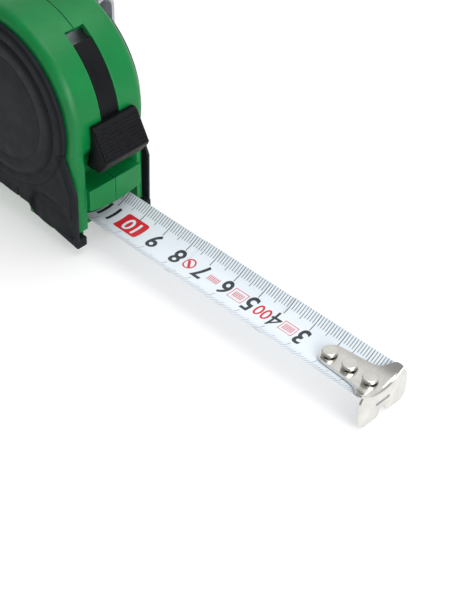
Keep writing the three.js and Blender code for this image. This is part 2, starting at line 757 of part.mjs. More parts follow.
add('belt_clip_plate', clipPlate(), steel);
add('belt_clip_arm', clipArm(), steel);
add('belt_clip_screw', screw(drumX, drumZ, clipInnerY + clipThickness + gap, clipScrewEnd + gap,
  clipScrewHeadRadius, clipScrewHeadHeight, clipScrewRadius), darkSteel);
screwSpots.forEach(([x, z, seat], i) => {
  add(`case_screw_${i + 1}`, screw(x, z, seat + gap, -innerHalf + screwRootDepth, screwHeadRadius,
    screwHeadHeight, screwShankRadius), darkSteel);
});

// ---- origin at the middle of the base of the whole object ----------------------------------

const bounds = new THREE.Box3().setFromObject(tape);
const middle = bounds.getCenter(new THREE.Vector3());
tape.position.set(-middle.x, -middle.y, -bounds.min.z);
tape.updateMatrixWorld(true);

export default tape;
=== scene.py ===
"""Looks for the pocket tape measure: materials, detailed pieces in place of the plain CAD ones, camera and
studio.

Shapes are worked out in millimetres in the part's own frame: x = 0 at the lip's front, y = 0 at the seam and
z = 0 at the base. place() turns them into metres in the row frame."""

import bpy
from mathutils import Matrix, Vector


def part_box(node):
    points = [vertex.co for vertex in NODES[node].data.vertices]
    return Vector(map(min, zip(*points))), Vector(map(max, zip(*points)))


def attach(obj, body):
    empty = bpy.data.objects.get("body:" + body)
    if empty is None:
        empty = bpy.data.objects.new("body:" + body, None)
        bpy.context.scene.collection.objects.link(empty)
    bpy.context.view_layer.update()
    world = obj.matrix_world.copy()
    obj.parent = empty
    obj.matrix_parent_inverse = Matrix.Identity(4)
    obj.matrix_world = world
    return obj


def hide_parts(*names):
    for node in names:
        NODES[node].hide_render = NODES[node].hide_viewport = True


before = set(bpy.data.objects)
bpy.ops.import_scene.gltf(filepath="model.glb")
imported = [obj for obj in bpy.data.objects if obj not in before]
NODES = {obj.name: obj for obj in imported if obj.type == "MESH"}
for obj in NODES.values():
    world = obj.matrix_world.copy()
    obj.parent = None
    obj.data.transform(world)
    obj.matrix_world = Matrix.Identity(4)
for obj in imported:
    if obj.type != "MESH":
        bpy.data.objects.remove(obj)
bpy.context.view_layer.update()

import math

import bmesh
import bpy
import numpy as np
from mathutils import Matrix, Vector

MM = 0.001

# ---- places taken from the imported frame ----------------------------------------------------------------

LIP_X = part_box("case_left")[1].x
SEAM_Y = (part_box("case_left")[0].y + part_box("case_right")[1].y) / 2


def box_mm(node):
    """A node's low and high corners in millimetres, in the part's own frame."""
    return [[(c.x - LIP_X) / MM, (c.y - SEAM_Y) / MM, c.z / MM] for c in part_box(node)]


def centre_mm(node):
    low, high = box_mm(node)
    return [(a + b) / 2 for a, b in zip(low, high)]


DRUM_X, _, DRUM_Z = centre_mm("wound_blade")

PLATE = 0.8  # the hook's sheet
ZERO_X = box_mm("hook")[1][0] - PLATE  # inner face of the hook's flange, where the scale starts
BLADE_R = 14.3  # hollow side of the blade
CAD_BLADE = 0.3  # thickness of the CAD's blade, measured down from the hollow side
CURVE_Z = box_mm("blade_tip")[0][2] + BLADE_R + CAD_BLADE  # the line that the blade curves about
HALF_V = 9.5  # half the blade's width along its curve
SHELF = 0.19  # each blade section lies this far under the one ahead of it
SHEET = 0.1  # thickness of the blade

LABEL_Y = -box_mm("label_disc_left")[0][1]  # face of the side discs
LABEL_RISE = 0.9  # that face above the armour
ARMOUR_T = 1.4  # the armour's thickness
ARMOUR_OUT = LABEL_Y - LABEL_RISE
ARMOUR_IN = ARMOUR_OUT - ARMOUR_T


def place(points):
    """Millimetres in the part's frame to metres in the row frame."""
    p = np.asarray(points, float).reshape(-1, 3) * MM
    return p + np.array([LIP_X, SEAM_Y, 0.0])


# ---- materials -----------------------------------------------------------------------------------------


def linear(r, g, b):
    """An sRGB colour out of 255 as the linear values that a shader takes."""
    done = [c / 255 / 12.92 if c <= 10 else ((c / 255 + 0.055) / 1.055) ** 2.4 for c in (r, g, b)]
    return (*done, 1.0)


class Tree:
    """A little shorthand for building a material's nodes."""

    def __init__(self, name):
        self.mat = bpy.data.materials.new(name)
        self.mat.use_nodes = True
        self.nodes = self.mat.node_tree.nodes
        self.links = self.mat.node_tree.links
        self.bsdf = self.nodes["Principled BSDF"]
        self.coord = self.nodes.new("ShaderNodeTexCoord").outputs["Object"]

    def feed(self, socket, value):
        """Links an output to a socket, or sets the socket to a value."""
        if isinstance(value, bpy.types.NodeSocket):
            self.links.new(value, socket)
        else:
            socket.default_value = value

    def add(self, kind, inputs=(), **settings):
        node = self.nodes.new("ShaderNode" + kind)
        for key, value in settings.items():
            setattr(node, key, value)
        for key, value in dict(inputs).items():
            self.feed(node.inputs[key], value)
        return node

    def math(self, operation, a, b=0.0, clamp=False):
        return self.add("Math", {0: a, 1: b}, operation=operation, use_clamp=clamp).outputs[0]

    def noise(self, size, detail=3.0, stretch=None):
        """Noise whose blobs are about this many millimetres across."""
        where = self.coord
        if stretch:
            where = self.add("Mapping", {"Vector": where, "Scale": stretch}).outputs[0]
        made = self.add("TexNoise", {"Vector": where, "Scale": 1 / (size * MM), "Detail": detail})
        return made.outputs["Fac"]

    def range(self, value, low, high, start=0.3, end=0.7):
        """Stretches start to end onto low to high."""
        ends = {"From Min": start, "From Max": end, "To Min": low, "To Max": high}
        return self.add("MapRange", {"Value": value, **ends}).outputs[0]

    def blend(self, fac, a, b):
        node = self.nodes.new("ShaderNodeMix")
        node.data_type = "RGBA"
        for index, value in ((0, fac), (6, a), (7, b)):
            self.feed(node.inputs[index], value)
        return node.outputs[2]

    def bump(self, strength, depth, height, normal=None):
        """Bumps up to this many millimetres deep, on the flat normal or on another."""
        inputs = {"Strength": strength, "Distance": depth * MM, "Height": height}
        if normal is not None:
            inputs["Normal"] = normal
        self.out("Normal", self.add("Bump", inputs).outputs[0])

    def out(self, socket, value):
        self.feed(self.bsdf.inputs[socket], value)


def edges(t, radius):
    """(a normal rounded over this many millimetres, how close a point is to an edge)."""
    soft = t.add("Bevel", {"Radius": radius * MM}, samples=6).outputs[0]
    flat = t.add("NewGeometry").outputs["Normal"]
    facing = t.add("VectorMath", {0: soft, 1: flat}, operation="DOT_PRODUCT").outputs["Value"]
    return soft, t.math("MULTIPLY", t.math("SUBTRACT", 1.0, facing), 5.0, clamp=True)


def moulded(name, dark, light, worn_and_lit, *, rough, grain, bump, edge=0.3, blotch=7.0, painted_shade_name=None, gloss=0.5):
    """A moulded plastic or rubber: blotchy colour, fine grain, edges made lighter, partly as rubbing wear and
    partly as a painted highlight, and scattered scuffs.

    grain, edge and blotch are sizes. The mesh attribute that may be named holds painted shade, which darkens
    the colour in hollows, grooves and steps."""
    t = Tree(name)
    soft, edge_mask = edges(t, edge)
    colour = t.blend(t.range(t.noise(blotch), 0.0, 1.0), linear(*dark), linear(*light))
    speck = t.range(t.noise(grain * 2.2, 2.0), 0.0, 0.35, 0.45, 0.8)
    colour = t.blend(speck, colour, linear(*light))
    # Edges lighter: partly rubbing wear, partly a painted edge highlight.
    rubbed_and_lit_edges = t.math("MULTIPLY", edge_mask, t.range(t.noise(1.6, 4.0), 0.25, 1.0))
    colour = t.blend(rubbed_and_lit_edges, colour, linear(*worn_and_lit))
    # Painted shade: where an attribute is named, it darkens the colour towards black in hollows, grooves and
    # steps.
    if painted_shade_name:
        depth = t.add("Attribute", attribute_name=painted_shade_name).outputs["Fac"]
        colour = t.blend(depth, colour, linear(1, 1, 2))
    t.out("Base Color", colour)
    uneven = t.range(t.noise(3.5, 4.0), rough - 0.05, rough + 0.06)
    scuff = t.range(t.noise(2.4, 6.0, (1.0, 1.0, 0.35)), 0.0, 1.0, 0.62, 0.8)
    t.out("Roughness", t.math("SUBTRACT", uneven, t.math("MULTIPLY", scuff, 0.08)))
    height = t.math("ADD", t.noise(grain, 2.0), t.math("MULTIPLY", t.noise(grain * 5, 2.0), 0.7))
    t.bump(bump, 0.05, height, soft)
    t.out("Specular IOR Level", gloss)
    return t.mat


def metal(name, tone, tint, *, rough, brush, bump, edge=0.15):
    """A plated or bare metal: a soft brushed grain, uneven gloss, faint tarnish and a painted highlight along
    the edges.
    """
    t = Tree(name)
    soft, edge_mask = edges(t, edge)
    cloudy = t.range(t.noise(5.0, 4.0), 0.0, 1.0)
    colour = t.blend(cloudy, linear(*tone), linear(*tint))
    # Painted highlight: edges lightened towards white.
    colour = t.blend(t.math("MULTIPLY", edge_mask, 0.5), colour, linear(250, 250, 248))
    t.out("Base Color", colour)
    t.out("Metallic", 1.0)
    streak = t.noise(0.25, 3.0, brush)
    uneven = t.range(streak, rough - 0.04, rough + 0.05)
    t.out("Roughness", t.math("ADD", uneven, t.math("MULTIPLY", cloudy, 0.04)))
    t.bump(bump, 0.02, streak, soft)
    return t.mat


def enamel():
    """The blade's white paint: a cool white with faint clouding, dust and lengthwise rolling marks."""
    t = Tree("blade_enamel")
    cloudy = t.range(t.noise(9.0, 3.0, (0.4, 1.0, 1.0)), 0.0, 1.0)
    colour = t.blend(cloudy, linear(216, 224, 231), linear(224, 232, 238))
    dust = t.range(t.noise(0.35, 3.0), 0.0, 0.10, 0.66, 0.8)
    colour = t.blend(dust, colour, linear(160, 166, 172))
    t.out("Base Color", colour)
    lines = t.noise(0.5, 2.0, (0.03, 1.0, 1.0))
    t.out("Roughness", t.range(lines, 0.30, 0.42))
    t.bump(0.06, 0.02, lines)
    t.out("Coat Weight", 0.25)
    t.out("Coat Roughness", 0.15)
    return t.mat


def ink(name, dark, light):
    """Printed ink, thinner in places."""
    t = Tree(name)
    t.out("Base Color", t.blend(t.range(t.noise(0.5, 4.0), 0.0, 1.0), linear(*dark), linear(*light)))
    t.out("Roughness", t.range(t.noise(0.8, 2.0), 0.32, 0.48))
    return t.mat


# The mesh attribute that holds painted shade: how far the rubber's colour is darkened in hollows, grooves and
# steps.
PAINTED_SHADE_ATTR = "shade"
GREEN = moulded("green_shell", (0, 104, 48), (2, 116, 56), (40, 140, 86),
                rough=0.38, grain=0.22, bump=0.08, edge=0.6, blotch=11.0, gloss=0.28)
RUBBER = moulded("armour_rubber_skin", (19, 22, 26), (27, 31, 35), (58, 62, 68),
                 rough=0.62, grain=0.16, bump=0.24, edge=0.5, blotch=8.0, painted_shade_name=PAINTED_SHADE_ATTR, gloss=0.15)
DISC = moulded("disc_rubber_skin", (19, 22, 26), (26, 29, 34), (48, 52, 58),
               rough=0.58, grain=0.14, bump=0.18, edge=0.5, blotch=9.0, painted_shade_name=PAINTED_SHADE_ATTR, gloss=0.17)
BLACK = moulded("black_lock_plastic", (5, 6, 8), (11, 12, 15), (70, 70, 76),
                rough=0.5, grain=0.2, bump=0.14, edge=0.2, blotch=5.0, gloss=0.14)
SOFT = moulded("soft_rubber_skin", (18, 18, 20), (26, 26, 28), (44, 44, 46),
               rough=0.7, grain=0.2, bump=0.3, blotch=5.0, gloss=0.2)
NYLON = moulded("spool_nylon_skin", (212, 207, 192), (222, 218, 206), (235, 232, 224),
                rough=0.5, grain=0.3, bump=0.12, blotch=6.0)
NICKEL = metal("hook_nickel_plate", (222, 221, 217), (206, 204, 198),
               rough=0.17, brush=(1.0, 0.2, 1.0), bump=0.10)
CLIP = metal("clip_brushed_steel", (178, 181, 186), (160, 163, 168),
             rough=0.30, brush=(1.0, 1.0, 0.06), bump=0.25)
SCREW = metal("screw_black_zinc", (92, 94, 98), (70, 72, 76),
              rough=0.34, brush=(1.0, 1.0, 1.0), bump=0.15)
SPRING = metal("spring_blued_steel", (84, 90, 104), (64, 68, 80),
               rough=0.30, brush=(1.0, 0.08, 1.0), bump=0.2)
ENAMEL = enamel()
INK_DARK = ink("ink_dark", (30, 37, 42), (48, 56, 62))
INK_FAINT = ink("ink_faint", (108, 122, 134), (130, 142, 152))
INK_RED = ink("ink_red", (196, 24, 40), (208, 38, 54))
INK_PINK = ink("ink_pink", (202, 44, 60), (208, 58, 72))


# ---- making pieces -------------------------------------------------------------------------------------


def settle(obj, material, body, stands_for=(), smooth=35):
    """Finishes a piece: material, shading, its body and the CAD nodes that it stands for."""
    obj.data.materials.clear()
    obj.data.materials.append(material)
    obj.data.shade_smooth()
    obj.data.set_sharp_from_angle(angle=math.radians(smooth))
    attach(obj, body)
    if stands_for:
        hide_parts(*stands_for)
    return obj


def linked(name, data):
    obj = bpy.data.objects.new(name, data)
    bpy.context.scene.collection.objects.link(obj)
    return obj


def solid(name, verts, faces):
    """A mesh object from millimetre points, with its faces turned outward."""
    mesh = bpy.data.meshes.new(name)
    mesh.from_pydata([tuple(p) for p in place(verts)], [], faces)
    bm = bmesh.new()
    bm.from_mesh(mesh)
    bmesh.ops.recalc_face_normals(bm, faces=bm.faces)
    bm.to_mesh(mesh)
    bm.free()
    return linked(name, mesh)


def applied(obj):
    """The object with its modifiers made real."""
    bpy.context.view_layer.update()
    made = bpy.data.meshes.new_from_object(obj.evaluated_get(bpy.context.evaluated_depsgraph_get()))
    obj.modifiers.clear()
    old = obj.data
    obj.data = made
    bpy.data.meshes.remove(old)
    return obj


def bevelled(obj, width, segments, angle=30):
    """The object with the edges that turn by more than this many degrees rounded."""
    mod = obj.modifiers.new("edges", "BEVEL")
    mod.width = width * MM
    mod.segments = segments
    mod.limit_method = "ANGLE"
    mod.angle_limit = math.radians(angle)
    return applied(obj)


def refined(node, material, body, slot, bevel=0.0, smooth=35):
    """A CAD node's shape with its facets merged, its edges rounded and its curves shaded smooth."""
    bm = bmesh.new()
    bm.from_mesh(NODES[node].data)
    bmesh.ops.remove_doubles(bm, verts=bm.verts, dist=2e-6)
    bmesh.ops.dissolve_limit(bm, angle_limit=math.radians(0.4), verts=bm.verts, edges=bm.edges)
    mesh = bpy.data.meshes.new(node + "_finished")
    bm.to_mesh(mesh)
    bm.free()
    obj = linked(node + "_finished", mesh)
    if bevel:
        bevelled(obj, bevel, 2, 33)
    settle(obj, material, body, [node], smooth)
    normals = obj.modifiers.new("normals", "WEIGHTED_NORMAL")
    normals.keep_sharp = True
    normals.weight = 80


def grid_faces(rows, cols, wrap=False):
    faces = []
    for i in range(rows - 1):
        for j in range(cols if wrap else cols - 1):
            k = (j + 1) % cols
            faces.append((i * cols + j, i * cols + k, (i + 1) * cols + k, (i + 1) * cols + j))
    return faces


def turned(name, profile, put, steps):
    """A profile of (radius, distance along) turned about a line. The first and last radius are 0.

    put() turns two offsets from the line and the distance along it into (x, y, z)."""
    verts = [put(0, 0, profile[0][1])]
    for r, along in profile[1:-1]:
        turns = [2 * math.pi * i / steps for i in range(steps)]
        verts += [put(r * math.cos(a), r * math.sin(a), along) for a in turns]
    verts.append(put(0, 0, profile[-1][1]))
    rings, last = len(profile) - 2, len(verts) - 1
    faces = [(0, 1 + (i + 1) % steps, 1 + i) for i in range(steps)]
    faces += [tuple(1 + v for v in f) for f in grid_faces(rings, steps, True)]
    faces += [(last, last - steps + i, last - steps + (i + 1) % steps) for i in range(steps)]
    return solid(name, verts, faces)


def lathe(name, x, z, profile, steps, sign=1):
    """A (radius, y) profile turned about a line along Y."""
    return turned(name, profile, lambda u, v, y: (x + u, sign * y, z + v), steps)


def cut(obj, cutters):
    """Takes the cutters' space out of obj."""
    for cutter in cutters:
        mod = obj.modifiers.new("cut", "BOOLEAN")
        mod.operation = "DIFFERENCE"
        mod.solver = "EXACT"
        mod.object = cutter
        applied(obj)
        bpy.data.objects.remove(cutter)
    return obj


def prism(name, outline, along, low, high):
    """An outline carried along one axis: 'x' takes (y, z) points and 'y' takes (x, z)."""
    order = {"x": lambda u, v, w: (w, u, v), "y": lambda u, v, w: (u, w, v)}[along]
    n = len(outline)
    verts = [order(u, v, w) for w in (low, high) for u, v in outline]
    faces = [tuple(range(n)), tuple(range(2 * n - 1, n - 1, -1))]
    faces += [(i, (i + 1) % n, n + (i + 1) % n, n + i) for i in range(n)]
    return solid(name, verts, faces)


def arc(cx, cz, r, start, end, steps):
    """Points round a centre, from one angle in degrees to another."""
    a = np.radians(np.linspace(start, end, steps + 1))
    return [(cx + r * math.cos(t), cz + r * math.sin(t)) for t in a]


def near_line(points, line, closed=False):
    """The distance of each point from a polyline."""
    ends = zip(line, line[1:] + line[:1] if closed else line[1:])
    best = np.full(len(points), 1e9)
    for a, b in ends:
        a, b = np.array(a, float), np.array(b, float)
        d = b - a
        t = np.clip((points - a) @ d / max(d @ d, 1e-12), 0, 1)
        best = np.minimum(best, np.hypot(*(points - a - t[:, None] * d).T))
    return best


def within(points, ring):
    """Whether each point is inside a closed outline."""
    inside = np.zeros(len(points), bool)
    for (x0, z0), (x1, z1) in zip(ring, ring[1:] + ring[:1]):
        crosses = (z0 > points[:, 1]) != (z1 > points[:, 1])
        if z1 != z0:
            at = x0 + (points[:, 1] - z0) * (x1 - x0) / (z1 - z0)
            inside ^= crosses & (points[:, 0] < at)
    return inside


def step(values, low, high):
    """0 below low, 1 above high and a smooth rise between."""
    t = np.clip((values - low) / (high - low), 0, 1)
    return t * t * (3 - 2 * t)


# ---- side armour and discs -----------------------------------------------------------------------------

GUARD_R = 27.4  # the guard's round edge, about the drum's axis
HEEL_R, HEEL_Z = 12, 22  # its lower rear corner
RING_OUT, RING_TOP, RING_RISE = 26.9, 25.7, 0.35  # the low ring round the disc slopes up between these
SKIRT_R = 23.3  # the disc's sloping skirt ends here, over a step down of the ring
SKIRT_STEP = 0.45
DISC_R = 21.2  # the disc below its skirt
GUARD = [  # (x, z), from the toe up the front edge and round
    (-1.2, 2.9),
    (-0.8, 23.0),
    *arc(DRUM_X, DRUM_Z, GUARD_R, -16, 180, 90),
    *arc(DRUM_X - GUARD_R + HEEL_R, HEEL_Z, HEEL_R, 180, 250, 24),
    (-45, 10.1),
    (-32, 8.8),
    (-23.2, 8.5),
    (-21.3, 4.9),
    (-13.8, 4.2),
    (-12.3, 4.4),
]
FRONT_EDGE = [(-5.6, 34.1), (-0.8, 23.0), (-1.2, 2.9)]
# The foot's scoop falls from its outer line to its inner one, and the panel inside that is crowned.
SCOOP, CROWN = 0.85, 0.3
HOLLOW_OUT = [(-23, -5), (-22.6, 11), (-19.8, 16), (-14.7, 17.6), (-9.3, 17.2), (-6, 16.6),
              (-4.2, 15.3), (-3.0, 13), (-2.3, 10.3), (-2.1, 7.4), (-2.1, -5)]
HOLLOW_IN = [(-20.6, -5), (-20.6, 12.3), (-19, 14.0), (-13, 14.4), (-8, 13.8), (-5.6, 13.0),
             (-4.4, 11.6), (-3.5, 8.4), (-3.3, -5)]
NICK_X, NICK = -27.7, 0.45  # small nick in the guard's lower edge
BEAD, BEAD_GROOVE = 1.75, 0.16  # groove behind the bead on the front edge
GUARD_EDGE = 0.7  # round of the guard's edge
CASE_SCREWS = [f"case_screw_{n}" for n in (1, 2, 3, 4)]
SCREW_ROOM = 2.4  # radius cut out of the far guard round each screw's boss


def dense(line, gap):
    """A closed outline with no two points further apart than gap."""
    out = []
    for a, b in zip(line, line[1:] + line[:1]):
        n = max(1, math.ceil(math.dist(a, b) / gap))
        out += [(a[0] + (b[0] - a[0]) * i / n, a[1] + (b[1] - a[1]) * i / n) for i in range(n)]
    return out


def peak(values, middle, width):
    """1 at the middle and falling to 0 on both sides."""
    return np.exp(-(((values - middle) / width) ** 2))


def guard_height(p):
    """(the armour's face above its back, how much painted shade darkens it in the scoop, the nick, the bead's
    groove and the ring's step) at each (x, z).
    """
    x, z = p.T
    r = np.hypot(x - DRUM_X, z - DRUM_Z)
    h = ARMOUR_T + RING_RISE * step(-r, -RING_OUT, -RING_TOP)
    h -= SKIRT_STEP * step(-r, -SKIRT_R, 0.2 - SKIRT_R)
    out = np.where(within(p, HOLLOW_OUT), near_line(p, HOLLOW_OUT, True), 0.0)
    to_panel = near_line(p, HOLLOW_IN, True)
    on_panel = within(p, HOLLOW_IN)
    fall = out / np.maximum(out + np.where(on_panel, 0.0, to_panel), 1e-6)
    crown = np.where(on_panel, np.clip(to_panel, 0, 4), 0.0) / 4
    h -= SCOOP * fall**0.8 - CROWN * step(crown, 0, 1)
    front = near_line(p, FRONT_EDGE)
    h -= 0.42 * np.clip(1.25 - front, 0, None) + BEAD_GROOVE * peak(front, BEAD, 0.3)
    nick = peak(x, NICK_X, 0.35) * step(z, 8.0, 9.0) * step(-z, -13.2, -12.4)
    h -= NICK * nick
    edge = np.clip(GUARD_EDGE - near_line(p, GUARD, True), 0, GUARD_EDGE)
    h -= GUARD_EDGE - np.sqrt(GUARD_EDGE**2 - edge**2)
    # Painted shade: darkest in the foot's scoop, and also in the nick, the groove behind the bead and the
    # ring's outer step.
    deep = 1.1 * np.sin(math.pi * fall) ** 0.7 * step(z, 4.0, 11.0) + 0.8 * nick
    deep += 0.8 * peak(front, BEAD, 0.4) + 0.75 * peak(r, 26.75, 0.45)
    return np.maximum(h, 0.25), np.clip(deep, 0, 0.97)


def armour(name, sign):
    """One rubber guard without its toe: a modelled face over a flat back, in rings about the drum's axis."""
    rim = dense(GUARD, 0.5)
    cols = len(rim)
    centre = np.array([DRUM_X, DRUM_Z])
    spokes = np.array(rim) - centre
    reach = np.hypot(*spokes.T)
    pocket = [8.0, 21.38, 21.5]  # floor of the pocket for the disc
    ring = [21.8, 22.6, 23.6, 24.6, 25.3, RING_TOP, 26.0, 26.3, 26.6, RING_OUT]
    shares = 1 - (1 - np.linspace(0, 1, 42)) ** 1.5
    radii = [np.full(cols, r) for r in pocket + ring] + [27.0 + (reach - 27.0) * k for k in shares]
    flat = np.concatenate([centre + spokes * (r / reach)[:, None] for r in radii])
    height = guard_height(flat)[0]
    height[: len(pocket) * cols] = 0.7
    verts = [(p[0], (ARMOUR_IN + h) * sign, p[1]) for p, h in zip(flat, height)]
    verts += [(x, ARMOUR_IN * sign, z) for x, z in rim]
    back = len(radii) * cols
    faces = grid_faces(len(radii) + 1, cols, True)
    faces += [tuple(range(cols)), tuple(range(back, back + cols))[::-1]]
    return solid(name, verts, faces)


def shaded(obj, darkness):
    """Stores the painted shade of each vertex, how far its colour is darkened: darkness((x, z), height out of
    the side).
    """
    co = (np.array([v.co for v in obj.data.vertices]) - (LIP_X, SEAM_Y, 0)) / MM
    mark = obj.data.attributes.new(PAINTED_SHADE_ATTR, "FLOAT", "POINT")
    mark.data.foreach_set("value", darkness(co[:, [0, 2]], np.abs(co[:, 1])).astype(np.float32))


def toe(name, sign):
    """The block at the guard's lower front corner that wraps round the foot towards the mouth."""
    outline = [(-12, 4.6), (-1.2, 2.7), (-0.9, 3.4), (-0.9, 6.2), (-12, 6.2)]
    low, high = sorted((sign * 11.32, sign * (ARMOUR_OUT - 0.45)))
    return bevelled(prism(name, outline, "y", low, high), 0.5, 3)


def joined(objs):
    """Several mesh objects as the first of them."""
    first = objs[0]
    bm = bmesh.new()
    for o in objs:
        bm.from_mesh(o.data)
    mesh = bpy.data.meshes.new(first.data.name)
    bm.to_mesh(mesh)
    bm.free()
    first.data = mesh
    for o in objs[1:]:
        bpy.data.objects.remove(o)
    return first


def disc_shade(p, y):
    # Painted shade: darker down the disc's skirt and in the fine groove round its face.
    r = np.hypot(p[:, 0] - DRUM_X, p[:, 1] - DRUM_Z)
    return 0.95 * step(r, 21.4, 22.9) + 0.45 * peak(r, 18.0, 0.3)


def disc_profile(hole):
    """The disc's (radius, y): a flat back, a skirt down to the ring, and a fine groove round the face."""
    low, edge, groove = ARMOUR_OUT - 0.4, ARMOUR_OUT + 0.1, LABEL_Y - 0.14
    skirt = [(DISC_R + (SKIRT_R - DISC_R) * k, LABEL_Y - 0.56 * step(k, 0, 1)) for k in np.linspace(1, 0, 10)]
    face = [(18.6, LABEL_Y - 0.02), (18.2, groove), (17.8, groove), (17.4, LABEL_Y - 0.02), (8, LABEL_Y)]
    body = [(DISC_R, low), (DISC_R, edge), (SKIRT_R, edge), *skirt, *face]
    if hole:
        return [(0, low + 0.1), (hole, low), *body, (hole, LABEL_Y), (0, LABEL_Y - 0.1)]
    return [(0, low), *body, (0, LABEL_Y)]


def side(word, sign):
    far = sign > 0
    guard = armour(f"armour_{word}_moulded", sign)
    if far:
        room = [(0, 10), (SCREW_ROOM, 10), (SCREW_ROOM, 20), (0, 20)]
        bosses = [centre_mm(node) for node in CASE_SCREWS]
        cut(guard, [lathe("hole", x, z, room, 32) for x, _, z in bosses])
    guard = joined([guard, toe("toe", sign)])
    # Painted shade on the guard's outer face, from its hollows and grooves.
    shaded(guard, lambda p, y: guard_height(p)[1] * (y > ARMOUR_IN + 0.15))
    settle(guard, RUBBER, "case", [f"armour_{word}"], 40)
    profile = disc_profile(1.8 if far else 0)
    disc = lathe(f"disc_{word}_moulded", DRUM_X, DRUM_Z, profile, 128, sign)
    shaded(disc, disc_shade)
    settle(disc, DISC, "case", [f"label_disc_{word}"], 40)


side("left", -1)
side("right", 1)

# ---- case, internals and clip --------------------------------------------------------------------------

refined("case_left", GREEN, "case", "green_plastic", smooth=38)
refined("case_right", GREEN, "case", "green_plastic", smooth=38)
REFINED = [  # (CAD node, material, body, slot, bevel)
    ("lock_strip", BLACK, "lock", "black_plastic", 0.15),
    ("lock_brake", SOFT, "lock", "soft_rubber", 0.2),
    ("blade_lead", ENAMEL, "case", "blade_white", 0.0),
    ("wound_blade", ENAMEL, "spool", "blade_white", 0.0),
    ("drum", NYLON, "spool", "spool_nylon", 0.15),
    ("drum_cover", NYLON, "spool", "spool_nylon", 0.15),
    ("mainspring", SPRING, "spool", "spring_steel", 0.0),
    ("centre_post", NYLON, "case", "spool_nylon", 0.15),
    ("belt_clip_plate", CLIP, "case", "clip_steel", 0.25),
    ("belt_clip_arm", CLIP, "clip_spring", "clip_steel", 0.3),
    ("belt_clip_screw", SCREW, "case", "screw_steel", 0.08),
    *((node, SCREW, "case", "screw_steel", 0.08) for node in CASE_SCREWS),
]
for row in REFINED:
    refined(*row)


def bumper():
    """The stop in the mouth: a low block whose front stands up to meet the hook."""
    low, high = box_mm("mouth_bumper")
    rear, front = low[0], high[0]
    outline = [(rear, 1.2), (front - 0.4, 1.2), (front, 1.7), (front, 4.4), (front - 0.5, 4.8),
               (front - 1.8, 4.8), (front - 2.8, 3.6), (rear, 3.6)]
    obj = bevelled(prism("mouth_bumper_moulded", outline, "y", -1.5, 1.5), 0.3, 3)
    settle(obj, SOFT, "case", ["mouth_bumper"])


bumper()

# ---- thumb lock ----------------------------------------------------------------------------------------

# Corners of its outline, as (radius, degrees) about the drum's axis.
LOCK_TOP = (32.9, 6.1)
LOCK_APEX = (38.9, -10.2)
LOCK_LOW = (36.6, -18.2)
LOCK_FOOT = (31.3, -21.8)
RIBS = 10
# One rib, as (share of the pitch, height).
RIB = ((0.06, 0.0), (0.2, 0.26), (0.34, 0.35), (0.62, 0.35), (0.78, 0.26), (0.94, 0.0))
LOCK_EDGE = ((8.15, 0.0), (8.32, 0.12), (8.4, 0.3))  # (y, how far the outline draws in)


def about_drum(r, degrees):
    a = math.radians(degrees)
    return np.array([DRUM_X + r * math.cos(a), DRUM_Z + r * math.sin(a)])


def lock_profile():
    """The lock's (x, z) outline: underside, ribbed face, and the back that follows the case."""
    top, apex, low = (about_drum(*at) for at in (LOCK_TOP, LOCK_APEX, LOCK_LOW))
    run = top - apex
    out = np.array([run[1], -run[0]]) / np.linalg.norm(run)
    face = [low, low + (apex - low) * 0.85]
    for i in range(RIBS):
        for share, height in RIB:
            face.append(apex + run * ((i + share) / RIBS * 0.94 + 0.02) + out * height)
    face.append(top)
    back = arc(DRUM_X, DRUM_Z, LOCK_FOOT[0], LOCK_TOP[1], LOCK_FOOT[1], 20)
    return np.array(face + [np.array(p) for p in back])


def thumb_lock():
    line = lock_profile()
    run = np.roll(line, -1, 0) - np.roll(line, 1, 0)
    inward = np.stack([-run[:, 1], run[:, 0]], 1) / np.maximum(np.hypot(*run.T), 1e-9)[:, None]
    layers = [(-y, inset) for y, inset in LOCK_EDGE[::-1]] + list(LOCK_EDGE)
    verts, n = [], len(line)
    for y, inset in layers:
        verts += [(x, y, z) for x, z in line + inward * inset]
    faces = grid_faces(len(layers), n, True)
    faces += [tuple(range(n)), tuple(range(len(verts) - n, len(verts)))]
    settle(solid("thumb_lock_ribbed", verts, faces), BLACK, "lock", ["thumb_lock"], 28)


thumb_lock()

# ---- blade and its print -------------------------------------------------------------------------------

SECTIONS = (("blade_tip", "blade_front"), ("blade_mid", "blade_middle"), ("blade_rear", "blade_back"))


def span(node):
    """Where a section starts and ends, as millimetres of scale from the zero."""
    low, high = box_mm(node)
    return ZERO_X - high[0], ZERO_X - low[0]


def on_blade(s, v, r):
    """A point at scale position s, v across the curve, at this radius."""
    y = BLADE_R * math.sin(v / BLADE_R)
    return (ZERO_X - s, y, CURVE_Z - math.sqrt(r * r - y * y))


def blade_section(index):
    node, body = SECTIONS[index]
    start, end = span(node)
    top = BLADE_R + index * SHELF
    across = np.linspace(-HALF_V, HALF_V, 41)
    ring = [(v, top) for v in across] + [(v, top + SHEET) for v in across[::-1]]
    along = [start, *np.linspace(start + 0.5, end - 0.5, 9), end]
    verts = [on_blade(s, v, r) for s in along for v, r in ring]
    n = len(ring)
    faces = grid_faces(len(along), n, True)
    for end_ring in (0, (len(along) - 1) * n):
        for i in range(n // 2 - 1):
            faces.append((end_ring + i, end_ring + i + 1, end_ring + n - 2 - i, end_ring + n - 1 - i))
    settle(solid(node + "_strip", verts, faces), ENAMEL, body, [node], 40)


